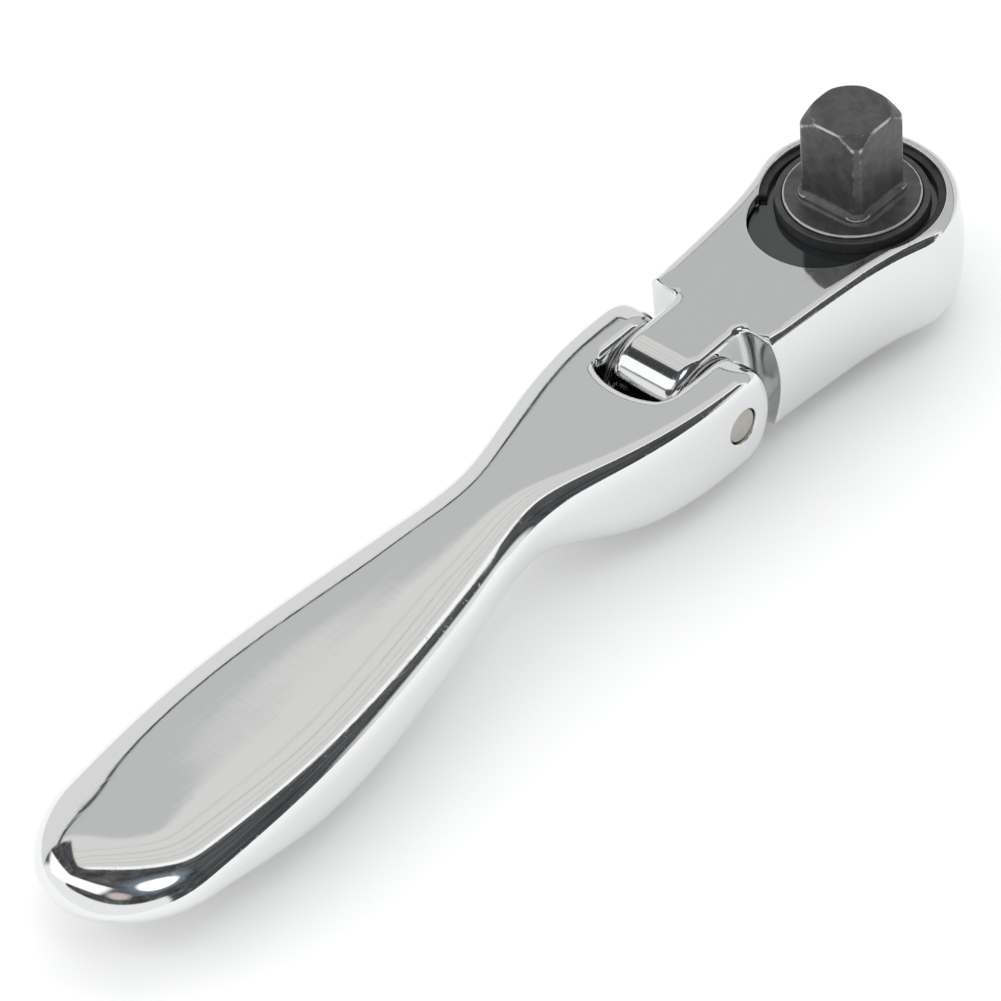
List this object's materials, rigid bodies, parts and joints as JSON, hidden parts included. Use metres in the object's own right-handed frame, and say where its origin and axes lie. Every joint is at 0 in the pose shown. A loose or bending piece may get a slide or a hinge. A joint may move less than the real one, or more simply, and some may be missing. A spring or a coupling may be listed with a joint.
{
  "type": "ratchet wrench",
  "caption": "Short flex-head ratchet wrench with a quarter-inch square drive, a reversing lever and a one-piece chrome handle with a wide flat palm end.",
  "frame": {"origin": "on the square drive's axis, in the plane of the head's drive-side face", "axes": "+Z out along the square drive, -X towards the handle's end, +Y to the left seen from the handle with the drive up"},
  "size_m": [0.101, 0.0182, 0.0209],
  "materials": {
    "polished_chrome_handle": "mirror-polished chrome plate with fine hairline scratches",
    "polished_chrome_head": "mirror-polished chrome plate with fine hairline scratches",
    "satin_chrome_lever": "satin chrome plate",
    "ground_steel_pin": "ground end face, slightly dull",
    "spring_steel_washer": "rolled spring steel",
    "hardened_steel": "hardened and tumbled steel",
    "bearing_steel_ball": "polished bearing steel",
    "spring_wire": "drawn wire",
    "gloss_black_plate": "glossy black finish",
    "black_spring_ring": "black phosphate spring steel",
    "black_oxide_bushing": "matte black oxide",
    "black_oxide_drive": "black oxide with bright worn edges",
    "bronze_washer": "turned bronze",
    "seal_rubber": "moulded nitrile rubber"
  },
  "bodies": {
    "handle": {"handle": "polished_chrome_handle", "hinge_pin": "ground_steel_pin", "friction_washer_left": "spring_steel_washer", "friction_washer_right": "spring_steel_washer", "flex_plunger": "hardened_steel", "flex_plunger_spring": "spring_wire"},
    "head": {"head_body": "polished_chrome_head", "cover_plate": "gloss_black_plate", "cover_retaining_ring": "black_spring_ring", "drive_bushing": "black_oxide_bushing", "gear_thrust_washer": "bronze_washer"},
    "drive": {"drive_gear": "black_oxide_drive", "socket_ball_spring": "spring_wire"},
    "socket_ball": {"socket_ball": "bearing_steel_ball"},
    "selector": {"reverse_lever": "satin_chrome_lever", "selector_clip": "black_spring_ring", "selector_o_ring": "seal_rubber", "selector_plunger": "hardened_steel", "selector_plunger_spring": "spring_wire"},
    "pawl": {"pawl": "hardened_steel"}
  },
  "joints": [
    {"name": "head_flex", "type": "hinge", "parent": "handle", "child": "head", "pos_m": [-0.0229, 0, -0.005], "axis": [0, 1, 0], "range_deg": [-70, 70]},
    {"name": "drive_spin", "type": "hinge", "parent": "head", "child": "drive", "pos_m": [0, 0, 0], "axis": [0, 0, 1], "continuous": true},
    {"name": "socket_ball_press", "type": "slide", "parent": "drive", "child": "socket_ball", "axis": [-1, 0, 0], "range_m": [0, 0.0004], "stiffness_N_per_m": 600, "springref_m": -0.0005, "deforming": ["socket_ball_spring"]},
    {"name": "lever_turn", "type": "hinge", "parent": "head", "child": "selector", "pos_m": [-0.0081, 0, -0.01], "axis": [0, 0, 1], "range_deg": [0, 40]},
    {"name": "pawl_rock", "type": "hinge", "parent": "head", "child": "pawl", "pos_m": [-0.0081, 0, -0.0045], "axis": [0, 0, 1], "range_deg": [0, 10]}
  ],
  "couplings": [
    {"joint": "pawl_rock", "follows": "lever_turn", "ratio": 0.25}
  ]
}
